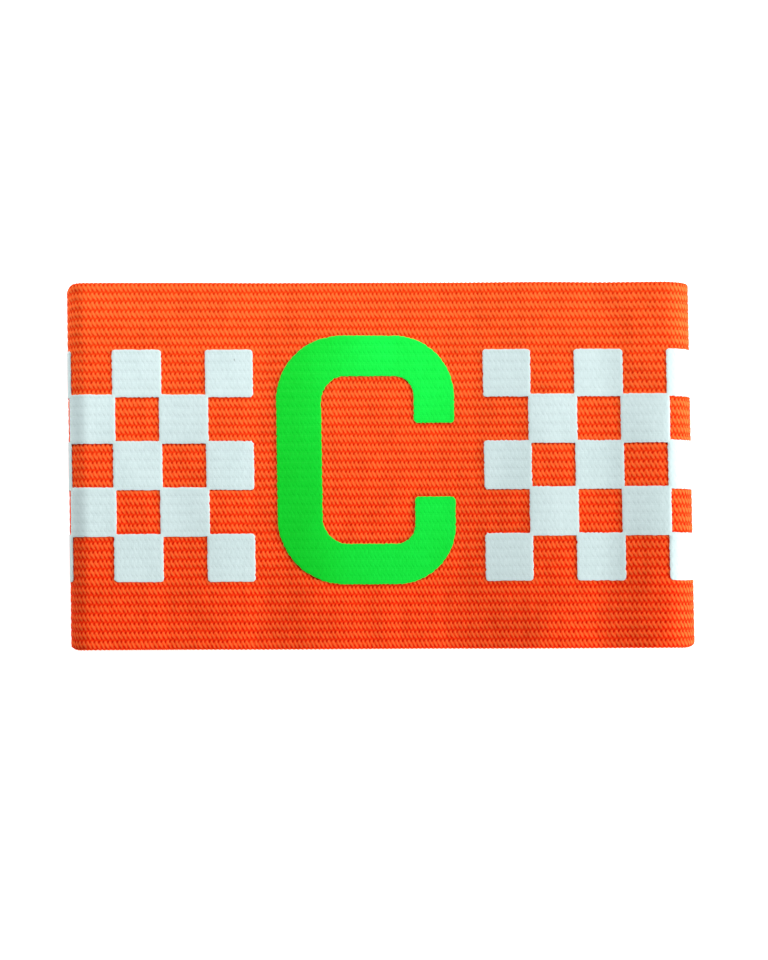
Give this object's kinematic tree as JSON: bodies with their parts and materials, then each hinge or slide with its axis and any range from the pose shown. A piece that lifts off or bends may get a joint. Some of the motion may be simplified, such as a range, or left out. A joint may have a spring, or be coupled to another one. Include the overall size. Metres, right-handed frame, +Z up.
{
  "type": "captain armband",
  "caption": "Captain's armband: a loop of ribbed woven elastic lying flat, with a film letter between chequered film panels, and an open hollow for the upper arm.",
  "frame": {"origin": "centre of the bounding box's bottom face, on the surface that the loop lies on", "axes": "+Z up out of the front face, +X from the tight fold to the sprung fold, +Y across the elastic towards the letter's top; the arm hole runs along Y"},
  "size_m": [0.1292, 0.075, 0.0126],
  "materials": {
    "orange_elastic": "ribbed woven elastic, matt",
    "green_film": "heat-pressed film, satin",
    "white_film": "heat-pressed film, satin"
  },
  "bodies": {
    "root": {"elastic_band": "orange_elastic", "captain_letter": "green_film", "left_chequer": "white_film", "right_chequer": "white_film"}
  },
  "joints": []
}
